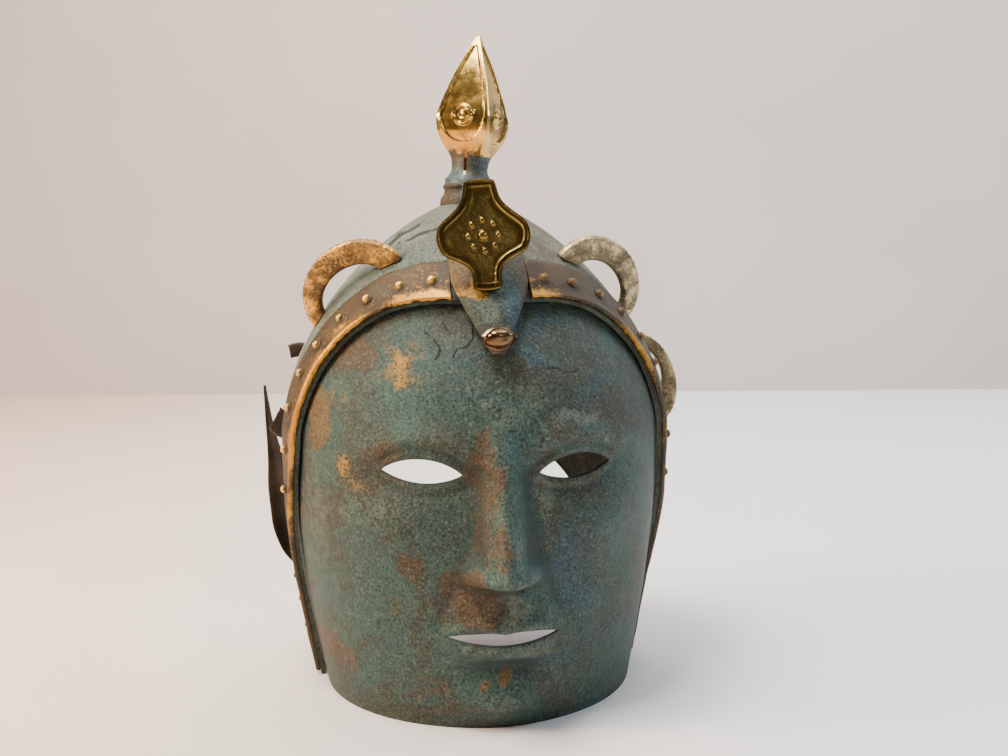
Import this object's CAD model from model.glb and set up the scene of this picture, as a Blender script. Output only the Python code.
import math

import bmesh
import bpy
import numpy as np
from mathutils import Matrix, Vector, noise


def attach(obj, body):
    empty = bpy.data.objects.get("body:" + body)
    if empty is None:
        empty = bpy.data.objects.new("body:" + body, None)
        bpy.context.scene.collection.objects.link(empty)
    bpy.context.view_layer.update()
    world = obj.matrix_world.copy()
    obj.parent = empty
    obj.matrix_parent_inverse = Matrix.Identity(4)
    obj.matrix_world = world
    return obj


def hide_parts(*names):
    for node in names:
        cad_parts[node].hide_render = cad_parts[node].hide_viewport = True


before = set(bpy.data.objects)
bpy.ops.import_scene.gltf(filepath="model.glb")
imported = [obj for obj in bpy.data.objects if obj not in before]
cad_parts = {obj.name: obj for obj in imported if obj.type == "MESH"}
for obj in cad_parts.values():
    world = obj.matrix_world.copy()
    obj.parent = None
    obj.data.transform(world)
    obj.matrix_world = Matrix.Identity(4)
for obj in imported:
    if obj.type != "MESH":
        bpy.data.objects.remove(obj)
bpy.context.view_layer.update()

MM = 0.001
SHIFT_Y = 11.461 * MM

# Head form, as in the CAD
CROWN_HEIGHT = 242 * MM
WIDEST_HEIGHT = 130 * MM
HALF_WIDTH = 95.5 * MM
FRONT_DEPTH = 98 * MM
BACK_DEPTH = 92 * MM
CROWN_POINT = 1.5
CROWN_SHOULDER = 1.7
BOWL_WALL = 2.2 * MM
MASK_WALL = 2.0 * MM
SEAM_GAP = 0.3 * MM
MASK_SEAT = 1.2 * MM
MASK_TUCK = 5 * MM
BAND_THICKNESS = 1.8 * MM
BAND_FOOT = 2 * MM
EYE_LEVEL = 119 * MM
THIRD = 63 * MM
CHIN_LEVEL = 4 * MM
EYE_WIDTH = 34 * MM
EYE_OPENING = 11 * MM
MOUTH_WIDTH = 50 * MM
MOUTH_OPENING = 6.5 * MM
NOSE_LENGTH = 23 * MM
NOSE_LEVEL = CHIN_LEVEL + THIRD
BROW_LEVEL = CHIN_LEVEL + 2 * THIRD
MOUTH_LEVEL = NOSE_LEVEL - THIRD / 3

SIDE_FORM = [(0.00, 0.850), (0.23, 0.905), (0.46, 0.953), (0.73, 0.990), (1.00, 1.000)]
FACE_EDGE = [
    (0, 0.797), (20, 0.797), (35, 0.787), (47, 0.758), (56, 0.711), (62, 0.653),
    (66, 0.579), (70, 0.496), (75, 0.401), (82, 0.289), (88, 0.165), (90, 0.000),
]
BAND_EDGE = [
    (0, 0.872), (24, 0.870), (44, 0.851), (58, 0.814), (68, 0.760), (75, 0.692),
    (79, 0.604), (82, 0.508), (86.5, 0.408), (93, 0.298), (98.5, 0.170), (100, 0.000),
]
NAPE_RIM = [
    (180, 0.483), (168, 0.471), (155, 0.442), (142, 0.380),
    (129, 0.289), (117, 0.174), (109, 0.075), (104, 0.000),
]


def smooth_table(rows, at):
    xs = [float(row[0]) for row in rows]
    ys = [float(row[1]) for row in rows]
    steps = [b - a for a, b in zip(xs, xs[1:])]
    slopes = [(b - a) / s for a, b, s in zip(ys, ys[1:], steps)]
    tangents = [0.0] * len(xs)
    tangents[0], tangents[-1] = slopes[0], slopes[-1]
    for i in range(1, len(xs) - 1):
        if slopes[i - 1] * slopes[i] > 0:
            tangents[i] = 2 * slopes[i - 1] * slopes[i] / (slopes[i - 1] + slopes[i])
    at = max(xs[0], min(xs[-1], at))
    i = 0
    while i < len(steps) - 1 and at > xs[i + 1]:
        i += 1
    t = (at - xs[i]) / steps[i]
    return (
        ys[i] * (1 + 2 * t) * (1 - t) ** 2
        + tangents[i] * steps[i] * t * (1 - t) ** 2
        + ys[i + 1] * t * t * (3 - 2 * t)
        + tangents[i + 1] * steps[i] * t * t * (t - 1)
    )


def column_at(rows, column, at):
    """One column of a table at a place that is counted in rows."""
    return smooth_table([(k, row[column]) for k, row in enumerate(rows)], at)


def along_table(rows, share):
    at = share * (len(rows) - 1)
    return math.radians(column_at(rows, 0, at)), column_at(rows, 1, at) * CROWN_HEIGHT


def form_share(height, offset=0.0):
    if height <= WIDEST_HEIGHT:
        return smooth_table(SIDE_FORM, height / WIDEST_HEIGHT)
    rise = min((height - WIDEST_HEIGHT) / (CROWN_HEIGHT + offset - WIDEST_HEIGHT), 1.0)
    return (1 - rise**CROWN_SHOULDER) ** (1 / CROWN_POINT)


def form_point(turn, height, offset=0.0):
    share = form_share(height, offset)
    depth = FRONT_DEPTH if math.cos(turn) > 0 else BACK_DEPTH
    return Vector(
        (
            (HALF_WIDTH * share + offset) * math.sin(turn),
            -(depth * share + offset) * math.cos(turn),
            height,
        )
    )


def form_level(point, offset):
    if point.z >= CROWN_HEIGHT + offset:
        return 2.0
    share = form_share(point.z, offset)
    depth = FRONT_DEPTH if point.y < 0 else BACK_DEPTH
    return math.hypot(
        point.x / (HALF_WIDTH * share + offset + 1e-9),
        point.y / (depth * share + offset + 1e-9),
    )


def form_along(direction, offset=0.0):
    middle = Vector((0, 0, WIDEST_HEIGHT))
    near, far = 0.06, 0.16
    for _ in range(20):
        half = (near + far) / 2
        if form_level(middle + direction * half, offset) < 1:
            near = half
        else:
            far = half
    return middle + direction * near


def hump(distance, reach):
    return math.exp(-((distance / reach) ** 2))


def soft_step(value, low, high):
    t = max(0.0, min(1.0, (value - low) / (high - low)))
    return t * t * (3 - 2 * t)


# Materials


class Nodes:
    """Short way to write the node tree of a material or a world."""

    def __init__(self, owner, coordinate="Object"):
        owner.use_nodes = True
        self.owner = owner
        self.tree = owner.node_tree
        self.shader = self.tree.nodes.get("Principled BSDF")
        self.place = self.new("TexCoord").outputs[coordinate]

    def new(self, kind, inputs=None):
        node = self.tree.nodes.new("ShaderNode" + kind)
        for key, value in (inputs or {}).items():
            self.put(value, node.inputs[key])
        return node

    def put(self, value, socket):
        if isinstance(value, bpy.types.NodeSocket):
            self.tree.links.new(value, socket)
        elif isinstance(value, (tuple, list)):
            socket.default_value = (*value, 1) if len(value) == 3 and socket.type == "RGBA" else value
        else:
            socket.default_value = value

    def moved(self, shift, stretch=(1, 1, 1)):
        inputs = {"Location": shift, "Scale": stretch, "Vector": self.place}
        return self.new("Mapping", inputs).outputs["Vector"]

    def noise(self, scale, detail=4.0, rough=0.55, warp=0.0, stretch=(1, 1, 1), seed=0.0):
        place = self.moved((seed, seed * 0.7, -seed), stretch)
        inputs = {"Vector": place, "Scale": scale, "Detail": detail, "Roughness": rough, "Distortion": warp}
        return self.new("TexNoise", inputs).outputs["Fac"]

    def cells(self, scale, seed=0.0):
        place = self.moved((seed, -seed, seed))
        return self.new("TexVoronoi", {"Vector": place, "Scale": scale}).outputs["Distance"]

    def ramp(self, value, low, high, to_low=0.0, to_high=1.0, kind="SMOOTHSTEP"):
        node = self.new("MapRange")
        node.interpolation_type = kind
        for key, item in (
            ("Value", value), ("From Min", low), ("From Max", high), ("To Min", to_low), ("To Max", to_high)
        ):
            self.put(item, node.inputs[key])
        return node.outputs["Result"]

    def math(self, operation, one, two=0.0):
        node = self.new("Math", {0: one, 1: two})
        node.operation = operation
        return node.outputs["Value"]

    def weigh(self, *terms):
        """Sum of values, each times its weight."""
        total = None
        for value, weight in terms:
            part = self.math("MULTIPLY", value, weight)
            total = self.math("ADD", total, part) if total else part
        return total

    def sway(self, base, *terms):
        """A value, if there is one, made ragged by noises about zero, each times its weight."""
        for value, weight in terms:
            part = self.math("MULTIPLY", self.math("SUBTRACT", value, 0.5), weight)
            base = self.math("ADD", base, part) if base else part
        return base

    def mix(self, share, one, two):
        node = self.new("Mix")
        node.data_type = "RGBA"
        for key, value in (("Factor", share), (6, one), (7, two)):
            self.put(value, node.inputs[key])
        return node.outputs[2]

    def attribute(self, name):
        node = self.new("Attribute")
        node.attribute_name = name
        return node.outputs["Fac"]

    def bump(self, height, strength, distance):
        node = self.new("Bump", {"Strength": strength, "Distance": distance, "Height": height})
        self.put(node.outputs["Normal"], self.shader.inputs["Normal"])

    def finish(self, colour, metallic, roughness, gloss=0.5):
        for key, value in (
            ("Specular IOR Level", gloss), ("Base Color", colour),
            ("Metallic", metallic), ("Roughness", roughness),
        ):
            self.put(value, self.shader.inputs[key])
        return self.owner


BASE = (0.037, 0.045, 0.031)
TEAL = (0.031, 0.076, 0.064)
BLUE = (0.020, 0.054, 0.074)
PALE = (0.120, 0.138, 0.104)
GREY_BROWN = (0.044, 0.032, 0.018)
BROWN = (0.070, 0.036, 0.014)
OCHRE = (0.135, 0.076, 0.022)
GOLD = (0.400, 0.215, 0.042)
DEEP = (0.006, 0.008, 0.006)
HAZE = (0.25, 0.27, 0.19)
LIGHT_SPECK = (0.160, 0.168, 0.122)
HOLLOW = (0.008, 0.012, 0.010)
CRACK = (0.004, 0.005, 0.004)
BUMP_HEIGHT = 0.6 * MM


def patina_material(name, light=0.0):
    """Verdigris over bronze: layered greens, speckle, worn brown and gold places."""
    n = Nodes(bpy.data.materials.new(name))
    wide = n.noise(14, 5, 0.6, 0.6, seed=1.3)
    mid = n.noise(60, 6, 0.65, 0.4, seed=4.1)
    small = n.noise(230, 5, 0.7, 0.2, seed=5.6)
    speck = n.noise(820, 4, 0.75, seed=2.2)
    grain = n.noise(1900, 2, 0.7, seed=7.7)
    colour = n.mix(n.ramp(wide, 0.42, 0.58, 0, 0.85), BASE, TEAL)
    broken = n.weigh((mid, 0.7), (small, 0.3))
    colour = n.mix(n.ramp(broken, 0.52, 0.62, 0, 0.55), colour, TEAL)
    rust = n.noise(26, 6, 0.68, 0.9, seed=12.0)
    colour = n.mix(n.ramp(rust, 0.48, 0.60, 0, 0.74), colour, GREY_BROWN)
    drift = n.noise(20, 5, 0.6, 0.8, seed=9.4)
    colour = n.mix(n.ramp(drift, 0.55, 0.68, 0, 0.55), colour, BLUE)
    ragged = n.sway(None, (mid, 1.1), (small, 0.9), (speck, 0.5))
    for attribute, tint, low, high, strength in (
        ("pale", PALE, 0.30, 0.80, 0.62),
        ("teal", TEAL, 0.25, 0.75, 0.85),
        ("blue", BLUE, 0.25, 0.80, 0.85),
        ("brown", BROWN, 0.38, 0.66, 0.85),
        ("ochre", OCHRE, 0.42, 0.72, 0.85),
        ("gold", GOLD, 0.42, 0.74, 0.92),
    ):
        share = n.math("ADD", n.attribute(attribute), ragged)
        present = n.ramp(n.attribute(attribute), 0.02, 0.25)
        share = n.math("MULTIPLY", n.ramp(share, low, high, 0, strength), present)
        colour = n.mix(share, colour, tint)
    if light:
        haze = n.weigh((mid, 0.5), (wide, 0.5))
        colour = n.mix(n.ramp(haze, 0.40, 0.60, light * 0.2, light * 1.2), colour, HAZE)
    colour = n.mix(n.ramp(small, 0.52, 0.72, 0.0, 0.40), colour, PALE)
    colour = n.mix(n.ramp(small, 0.48, 0.28, 0.0, 0.50), colour, DEEP)
    colour = n.mix(n.ramp(speck, 0.54, 0.68, 0.0, 0.70), colour, LIGHT_SPECK)
    colour = n.mix(n.ramp(speck, 0.50, 0.36, 0.0, 0.92), colour, DEEP)
    pits = n.cells(520, seed=3.0)
    colour = n.mix(n.ramp(pits, 0.20, 0.08, 0.0, 0.75), colour, DEEP)
    colour = n.mix(n.ramp(n.attribute("dark"), 0.1, 1.0, 0.0, 0.80), colour, HOLLOW)
    crack = n.ramp(n.sway(n.attribute("crack"), (mid, 0.75)), 0.76, 0.92, 0.0, 0.85)
    colour = n.mix(crack, colour, CRACK)
    height = n.weigh((speck, 0.8), (grain, 0.3), (small, 1.0), (mid, 1.4), (crack, -1.5))
    n.bump(height, 0.75, BUMP_HEIGHT)
    metallic = n.math("ADD", n.math("MULTIPLY", share, 0.6), 0.12)
    roughness = n.ramp(speck, 0.3, 0.7, 0.48, 0.70)
    return n.finish(colour, metallic, roughness, gloss=0.30)


def worn_material(name, body, worn, bright, wear_low, wear_high, rough, seed, spots=None, glitter=0.0):
    """Cast bronze, brown in the hollows and rubbed to gold on its raised edges."""
    n = Nodes(bpy.data.materials.new(name))
    wide = n.noise(34, 5, 0.6, 0.5, seed=seed)
    mid = n.noise(120, 6, 0.7, 0.3, seed=seed + 3)
    fine = n.noise(700, 4, 0.75, seed=seed + 5)
    colour = n.mix(n.ramp(wide, 0.35, 0.65), body, worn)
    if spots:
        patchy = n.noise(60, 5, 0.65, 0.5, seed=seed + 11)
        colour = n.mix(n.ramp(patchy, 0.52, 0.66, 0, 0.75), colour, spots)
    wear = n.sway(n.attribute("wear"), (mid, 1.5), (fine, 1.1))
    share = n.ramp(wear, wear_low, wear_high)
    if glitter:
        rubbed = n.ramp(n.attribute("wear"), 0.0, 0.5)
        flecks = n.math("MULTIPLY", n.ramp(fine, 0.57, 0.68, 0, glitter), rubbed)
        share = n.math("MAXIMUM", share, flecks)
    colour = n.mix(share, colour, bright)
    colour = n.mix(n.ramp(fine, 0.46, 0.30, 0, 0.8), colour, (0.022, 0.016, 0.010))
    colour = n.mix(n.ramp(n.attribute("dark"), 0.1, 1.0, 0.0, 0.85), colour, (0.020, 0.018, 0.012))
    scratches = n.noise(260, 3, 0.6, 0.2, stretch=(1, 1, 0.12), seed=seed + 8)
    n.bump(n.weigh((mid, 1.2), (fine, 0.7), (scratches, 0.35)), 0.7, BUMP_HEIGHT)
    metallic = n.ramp(share, 0, 1, 0.55, 1.0)
    roughness = n.math("ADD", n.ramp(share, 0, 1, rough + 0.2, rough), n.ramp(fine, 0.3, 0.7, 0, 0.1))
    return n.finish(colour, metallic, roughness)


def polished_material(name, tint, shade, rough, seed, relief=0.30):
    """Polished gilt bronze with tarnish left in its hollows."""
    n = Nodes(bpy.data.materials.new(name))
    wide = n.noise(45, 4, 0.6, 0.5, seed=seed)
    mid = n.noise(170, 5, 0.65, seed=seed + 2)
    speck = n.noise(800, 4, 0.75, seed=seed + 4)
    colour = n.mix(n.ramp(wide, 0.35, 0.7), tint, shade)
    share = n.ramp(n.sway(n.attribute("dark"), (mid, 0.9), (speck, 0.6)), 0.25, 0.8)
    colour = n.mix(share, colour, (0.070, 0.042, 0.010))
    green = n.sway(n.attribute("green"), (mid, 1.5), (wide, 1.2))
    green_share = n.math("MULTIPLY", n.ramp(green, 0.45, 0.65), n.ramp(n.attribute("green"), 0.02, 0.2))
    verdigris = n.mix(n.ramp(speck, 0.4, 0.6), (0.022, 0.045, 0.042), (0.085, 0.135, 0.120))
    verdigris = n.mix(n.ramp(wide, 0.45, 0.62, 0, 0.8), verdigris, (0.080, 0.050, 0.026))
    colour = n.mix(green_share, colour, verdigris)
    red = n.sway(n.attribute("red"), (mid, 0.9))
    red = n.math("MULTIPLY", n.ramp(red, 0.35, 0.6), n.ramp(n.attribute("red"), 0.05, 0.2))
    colour = n.mix(n.math("MULTIPLY", red, 0.6), colour, (0.36, 0.150, 0.030))
    n.bump(n.weigh((mid, 1.0), (wide, 1.4), (speck, 0.25)), relief, BUMP_HEIGHT)
    bare = n.math("SUBTRACT", green_share, n.math("MULTIPLY", green_share, red))
    metallic = n.math("SUBTRACT", 1.0, n.math("MULTIPLY", bare, 0.7))
    roughness = n.math("ADD", n.ramp(mid, 0.35, 0.7, rough, rough + 0.12), n.math("MULTIPLY", bare, 0.35))
    roughness = n.math("ADD", roughness, n.math("MULTIPLY", share, 0.15))
    return n.finish(colour, metallic, roughness)


# Meshes


def new_object(name, data):
    obj = bpy.data.objects.new(name, data)
    bpy.context.scene.collection.objects.link(obj)
    return obj


def add_piece(name, mesh, material, replaces, attributes):
    obj = new_object(name, mesh)
    mesh.materials.append(material)
    for key, values in attributes.items():
        layer = mesh.attributes.new(key, "FLOAT", "POINT")
        layer.data.foreach_set("value", [float(v) for v in values])
    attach(obj, "root")
    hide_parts(*replaces)
    return obj


def mesh_of(name, points, faces, angle=50, shift=True):
    mesh = bpy.data.meshes.new(name)
    if shift:
        points = [(p[0], p[1] + SHIFT_Y, p[2]) for p in points]
    mesh.from_pydata([tuple(p) for p in points], [], faces)
    bm = bmesh.new()
    bm.from_mesh(mesh)
    bmesh.ops.recalc_face_normals(bm, faces=bm.faces)
    bm.to_mesh(mesh)
    bm.free()
    mesh.shade_smooth()
    mesh.set_sharp_from_angle(angle=math.radians(angle))
    return mesh


def shell_parts(outer, inner):
    """Points and faces of a closed shell between two grids of the same size."""
    rows, columns = len(outer), len(outer[0])
    points = [p for row in outer for p in row] + [p for row in inner for p in row]
    base = rows * columns
    faces = []
    for i in range(rows - 1):
        for j in range(columns - 1):
            a = i * columns + j
            faces.append((a, a + 1, a + columns + 1, a + columns))
            faces.append((base + a, base + a + columns, base + a + columns + 1, base + a + 1))
    for i in range(rows - 1):
        for j in (0, columns - 1):
            a = i * columns + j
            faces.append((a, a + columns, base + a + columns, base + a))
    for j in range(columns - 1):
        for i in (0, rows - 1):
            a = i * columns + j
            faces.append((a, a + 1, base + a + 1, base + a))
    return points, faces


def loft_parts(rings, base=0, caps=True):
    count = len(rings[0])
    points = [p for ring in rings for p in ring]
    faces = []
    for i in range(len(rings) - 1):
        for k in range(count):
            a, b = base + i * count + k, base + i * count + (k + 1) % count
            faces.append((a, b, b + count, a + count))
    if caps:
        faces.append(tuple(base + k for k in range(count)))
        faces.append(tuple(base + (len(rings) - 1) * count + k for k in range(count)))
    return points, faces


# The face


def face_relief(x, z):
    side = abs(x)
    eye = EYE_WIDTH
    relief = 2.0 * MM * hump(x, 48 * MM) * hump(z - 158 * MM, 22 * MM)
    arch = BROW_LEVEL + 3 * MM - 9 * MM * ((side - eye) / (0.9 * eye)) ** 2
    relief += 4.5 * MM * hump(z - arch, 7 * MM) * hump(side - 0.95 * eye, 0.95 * eye)
    relief -= 7.5 * MM * hump(side - eye, 0.62 * eye) * hump(z - EYE_LEVEL, 11 * MM)
    relief += 5.5 * MM * hump(side - eye, 0.45 * eye) * hump(z - EYE_LEVEL, 8.5 * MM)
    along = (side - eye) / (eye / 2)
    if abs(along) < 1.25:
        reach = max(0.0, 1 - min(1.0, abs(along)) ** 2) ** 0.85
        top = EYE_LEVEL + 0.58 * EYE_OPENING * reach + 0.9 * MM * along
        low = EYE_LEVEL - 0.42 * EYE_OPENING * reach + 0.9 * MM * along
        fade = soft_step(1.25 - abs(along), 0.0, 0.35)
        relief += 1.1 * MM * fade * hump(z - top - 1.6 * MM, 1.5 * MM)
        relief -= 0.9 * MM * fade * hump(z - top - 5.2 * MM, 1.3 * MM)
        relief += 0.8 * MM * fade * hump(z - low + 1.5 * MM, 1.4 * MM)
        relief -= 0.5 * MM * fade * hump(z - low + 5.5 * MM, 2.0 * MM)
    if z > NOSE_LEVEL - 8 * MM:
        down = max(0.0, min(1.0, (BROW_LEVEL + 4 * MM - z) / (BROW_LEVEL + 4 * MM - NOSE_LEVEL - 8 * MM)))
        profile = 4.5 * MM + (NOSE_LENGTH - 4.5 * MM) * down**1.25
        under = 1 / (1 + math.exp(-(z - NOSE_LEVEL - 3.5 * MM) / (1.3 * MM)))
        width = 7.0 * MM + 3.2 * MM * down
        above = 1 / (1 + math.exp((z - BROW_LEVEL - 6 * MM) / (4 * MM)))
        relief += profile * under * above * math.exp(-((side / width) ** 2.4))
        wing = hump(side - 11.5 * MM, 5.6 * MM) * hump(z - NOSE_LEVEL - 7 * MM, 6 * MM)
        relief += 8.5 * MM * wing * under
        relief -= 2.0 * MM * hump(side - 7 * MM, 3 * MM) * hump(z - NOSE_LEVEL - 1.5 * MM, 2.2 * MM)
    relief += 6.0 * MM * hump(x, 30 * MM) * hump(z - MOUTH_LEVEL, 20 * MM)
    lip_fade = max(0.0, 1 - (side / (0.56 * MOUTH_WIDTH)) ** 2)
    upper = MOUTH_LEVEL + 5.4 * MM * lip_fade**0.5 - 1.0 * MM * hump(x, 3 * MM)
    lower = MOUTH_LEVEL - 6.2 * MM * lip_fade**0.5
    relief += 3.2 * MM * lip_fade * hump(z - upper, 3.2 * MM)
    relief += 3.8 * MM * lip_fade * hump(z - lower, 4.0 * MM)
    relief -= 1.2 * MM * hump(x, 3.0 * MM) * hump(z - MOUTH_LEVEL - 14 * MM, 6 * MM)
    relief -= 3.0 * MM * hump(x, 20 * MM) * hump(z - MOUTH_LEVEL + 15.5 * MM, 5 * MM)
    relief += 7.5 * MM * hump(x, 20 * MM) * hump(z - 15 * MM, 10.5 * MM)
    relief += 4.5 * MM * hump(side - 50 * MM, 19 * MM) * hump(z - NOSE_LEVEL - 27 * MM, 17 * MM)
    fold = 19 * MM + (NOSE_LEVEL + 8 * MM - z) * 0.42
    relief -= 1.6 * MM * hump(side - fold, 4 * MM) * hump(z - NOSE_LEVEL + 6 * MM, 13 * MM)
    return relief


def face_side_turn(height):
    rows = [(-FACE_EDGE[5][1], FACE_EDGE[5][0])] + [(-row[1], row[0]) for row in FACE_EDGE[6:]]
    return math.radians(smooth_table(rows, -height / CROWN_HEIGHT))


def mask_row(up, columns):
    """What one row of the mask shares: for each column its turn, height and distance to the edge."""
    corner_turn, corner_share = FACE_EDGE[5]
    row = []
    for j in range(columns + 1):
        across = 2 * j / columns - 1
        top = smooth_table(FACE_EDGE[:6], abs(across) * corner_turn) * CROWN_HEIGHT + MASK_TUCK
        height = up * top
        side = face_side_turn(min(height, corner_share * CROWN_HEIGHT)) + MASK_TUCK / HALF_WIDTH
        edge = max(0.0, (1 - abs(across)) * side * HALF_WIDTH - MASK_TUCK)
        row.append((across * side, height, edge, max(0.0, top - height - MASK_TUCK)))
    return row


def almond(sign):
    points = []
    for k in range(64):
        angle = 2 * math.pi * k / 64
        along = math.cos(angle)
        lift = math.sin(angle) * (1 - along * along) ** 0.35
        rise = 0.58 if lift > 0 else 0.42
        points.append(
            (
                sign * (EYE_WIDTH + EYE_WIDTH / 2 * along),
                EYE_LEVEL + rise * EYE_OPENING * lift + 0.9 * MM * along,
            )
        )
    return points


def mouth_line():
    points = []
    for k in range(72):
        angle = 2 * math.pi * k / 72
        along = math.cos(angle)
        lift = math.sin(angle) * (1 - along * along) ** 0.3
        bow = -0.8 * MM * hump(along, 0.14) if lift > 0 else 0.0
        points.append((MOUTH_WIDTH / 2 * along, MOUTH_LEVEL + MOUTH_OPENING / 2 * lift + bow * lift))
    return points


# Places of the tints: kind, x, z, reach across, reach up, tilt in degrees, strength
PATCHES = [
    ("gold", -41.6, 165, 8, 11, 12, 0.54),
    ("ochre", -43, 166, 13, 14, 0, 0.62),
    ("gold", -65, 116.4, 4.5, 6, 20, 0.56),
    ("ochre", -65, 116.4, 7, 9, 20, 0.55),
    ("ochre", -78, 141, 6, 17, -4, 0.90),
    ("ochre", -72, 153, 9, 9, 30, 0.55),
    ("brown", -60, 168, 10, 9, 20, 0.70),
    ("teal", -69, 154, 9, 7, 0, 0.75),
    ("teal", -44, 154, 10, 7, 10, 0.80),
    ("teal", -72, 128, 7, 18, 0, 0.75),
    ("teal", -58, 88, 14, 22, 8, 0.55),
    ("brown", -13.5, 65, 14, 11, -38, 1.05),
    ("ochre", -15, 61, 9, 6, -30, 0.45),
    ("brown", -8, 122, 6.5, 20, 4, 0.70),
    ("brown", -6, 92, 8, 16, 0, 0.55),
    ("brown", -47, 127, 14, 6, 12, 0.60),
    ("teal", 5, 118, 5, 20, -2, 0.90),
    ("blue", 29, 72, 10, 20, 10, 0.60),
    ("blue", 24, 128, 10, 9, 0, 0.35),
    ("pale", 19.5, 108, 6, 12, 0, 0.80),
    ("brown", 15, 122, 6, 7, 0, 0.42),
    ("brown", -74, 26, 13, 10, 0, 0.62),
    ("brown", -33, 20, 14, 6, 0, 0.45),
    ("ochre", -2, 25, 5, 5, 0, 0.75),
    ("brown", -10, 48, 7, 4, 0, 0.70),
    ("brown", -42, 78, 6, 9, 10, 0.60),
    ("brown", -45, 60, 7, 11, 0, 0.45),
    ("ochre", -88, 91, 5, 20, 0, 0.50),
    ("pale", -80, 100, 9, 30, 0, 0.55),
    ("pale", 0, 150, 22, 16, 0, 0.50),
    ("pale", -62, 100, 20, 5, 10, 0.55),
    ("brown", 55, 165, 9, 8, 0, 0.35),
    ("pale", 2, 58, 10, 6, 0, 0.85),
    ("pale", 10, 38, 14, 4, 0, 0.70),
    ("blue", 16, 34, 9, 4, 0, 0.50),
    ("blue", 8, 180, 16, 14, 0, 0.45),
    ("blue", 18, 176, 6, 16, -18, 0.62),
    ("brown", -18, 10, 18, 5, 0, 0.45),
    ("pale", 34, 140, 14, 4, 4, 0.70),
    ("pale", 84, 60, 5, 50, 0, 0.45),
]
KINDS = ("gold", "ochre", "brown", "teal", "blue", "pale", "dark", "crack")
MASK_CRACKS = [
    [(-9.5, 187), (-8.5, 181), (-9.5, 176), (-13, 172.5), (-17, 172), (-19, 168)],
    [(-30, 179), (-26, 176), (-24, 171), (-27, 167)],
    [(-22, 183), (-19, 179)],
    [(24, 163), (30, 160.5), (37, 161)],
]


def tints(points):
    """Strength of each tint at each point of the mask."""
    made = {kind: [0.0] * len(points) for kind in KINDS}
    drifts = [(noise.noise(Vector(p) * 85), noise.noise(Vector(p) * 85 + Vector((7, 3, 5)))) for p in points]
    for kind, x, z, across, up, tilt, strength in PATCHES:
        cos, sin = math.cos(math.radians(tilt)), math.sin(math.radians(tilt))
        layer = made[kind]
        for k, p in enumerate(points):
            dx, dz = p[0] / MM - x, p[2] / MM - z
            if abs(dx) > 60 or abs(dz) > 90:
                continue
            dx += 4.5 * drifts[k][0] + 2.0 * drifts[k][1]
            dz += 5.5 * drifts[k][1] - 2.0 * drifts[k][0]
            a, b = (dx * cos + dz * sin) / across, (dz * cos - dx * sin) / up
            d = a * a + b * b
            if d < 4:
                layer[k] = max(layer[k], strength * (1 - soft_step(math.sqrt(d), 0.45, 1.6)))
    return made


def line_distance(x, z, line):
    best = 1e9
    for (ax, az), (bx, bz) in zip(line, line[1:]):
        t = ((x - ax) * (bx - ax) + (z - az) * (bz - az)) / ((bx - ax) ** 2 + (bz - az) ** 2)
        t = max(0.0, min(1.0, t))
        best = min(best, math.hypot(x - ax - t * (bx - ax), z - az - t * (bz - az)))
    return best


def form_gain(p):
    """How far a point of the mask stands forward of the plain head form."""
    return math.sqrt(max(0.0, 1 - min(1.0, (p.x / HALF_WIDTH) ** 2))) * FRONT_DEPTH * -1 - p.y


def build_mask(material):
    rows, columns = ((196, 208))
    offset = -BOWL_WALL - MASK_SEAT
    outer, inner, edges = [], [], []
    for i in range(rows + 1):
        line_out, line_in = [], []
        for turn, height, edge, top_edge in mask_row(i / rows, columns):
            fade = 1 - hump(edge, 14 * MM)
            fade *= 1 - hump(top_edge, 12 * MM)
            for sheet, wall in ((line_out, 0.0), (line_in, MASK_WALL)):
                p = form_point(turn, height, offset - wall)
                p.y -= face_relief(p.x, height) * fade
                if height > 4 * MM and edge > 0 and top_edge > 0:
                    dent = noise.noise(p * 38) * 0.35 * MM + noise.noise(p * 110) * 0.12 * MM
                    p.y += dent * fade
                sheet.append(p)
            edges.append(min(edge, top_edge))
        outer.append(line_out)
        inner.append(line_in)
    points, faces = shell_parts(outer, inner)
    layers = tints(points)
    count = len(edges)
    relief = np.array([[form_gain(p) for p in row] for row in outer])
    broad = relief.copy()
    for _ in range(14):
        padded = np.pad(broad, 1, mode="edge")
        broad = (padded[:-2, 1:-1] + padded[2:, 1:-1] + padded[1:-1, :-2] + padded[1:-1, 2:]) / 4
    hollow = ((broad - relief) / (0.55 * MM)).ravel()
    for k in range(count):
        edge = edges[k] / MM
        if edge > 6:
            layers["dark"][k] = max(layers["dark"][k], min(0.62, 0.5 * max(0.0, hollow[k])))
            layers["pale"][k] = max(layers["pale"][k], min(0.5, 0.5 * max(0.0, -hollow[k])))
        if points[k][2] > 150 * MM:
            x, z = points[k][0] / MM, points[k][2] / MM
            wave = noise.noise(points[k] * 160)
            reach = min(line_distance(x + wave * 1.2, z + wave, line) for line in MASK_CRACKS)
            layers["crack"][k] = hump(reach, 1.15)
        wave = noise.noise(points[k] * 60)
        close = hump(edge, 4.5)
        layers["dark"][k] = max(layers["dark"][k], 0.75 * hump(edge, 1.8))
        if points[k][2] > 60 * MM:
            layers["blue"][k] = max(layers["blue"][k], (0.75 + 0.5 * wave) * close)
    mesh = mesh_of("face_shell", points, faces)
    piece = add_piece("face_shell", mesh, material, ["face_mask"], layers)
    for name, outline in (("eye_a", almond(-1)), ("eye_b", almond(1)), ("mouth", mouth_line())):
        rings = [[Vector((x, y, z)) for x, z in outline] for y in (-0.18, -0.03)]
        apply_cut(piece, new_object("cut_" + name, mesh_of("cut_" + name, *loft_parts(rings))))
    return piece


# Bowl and band

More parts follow.
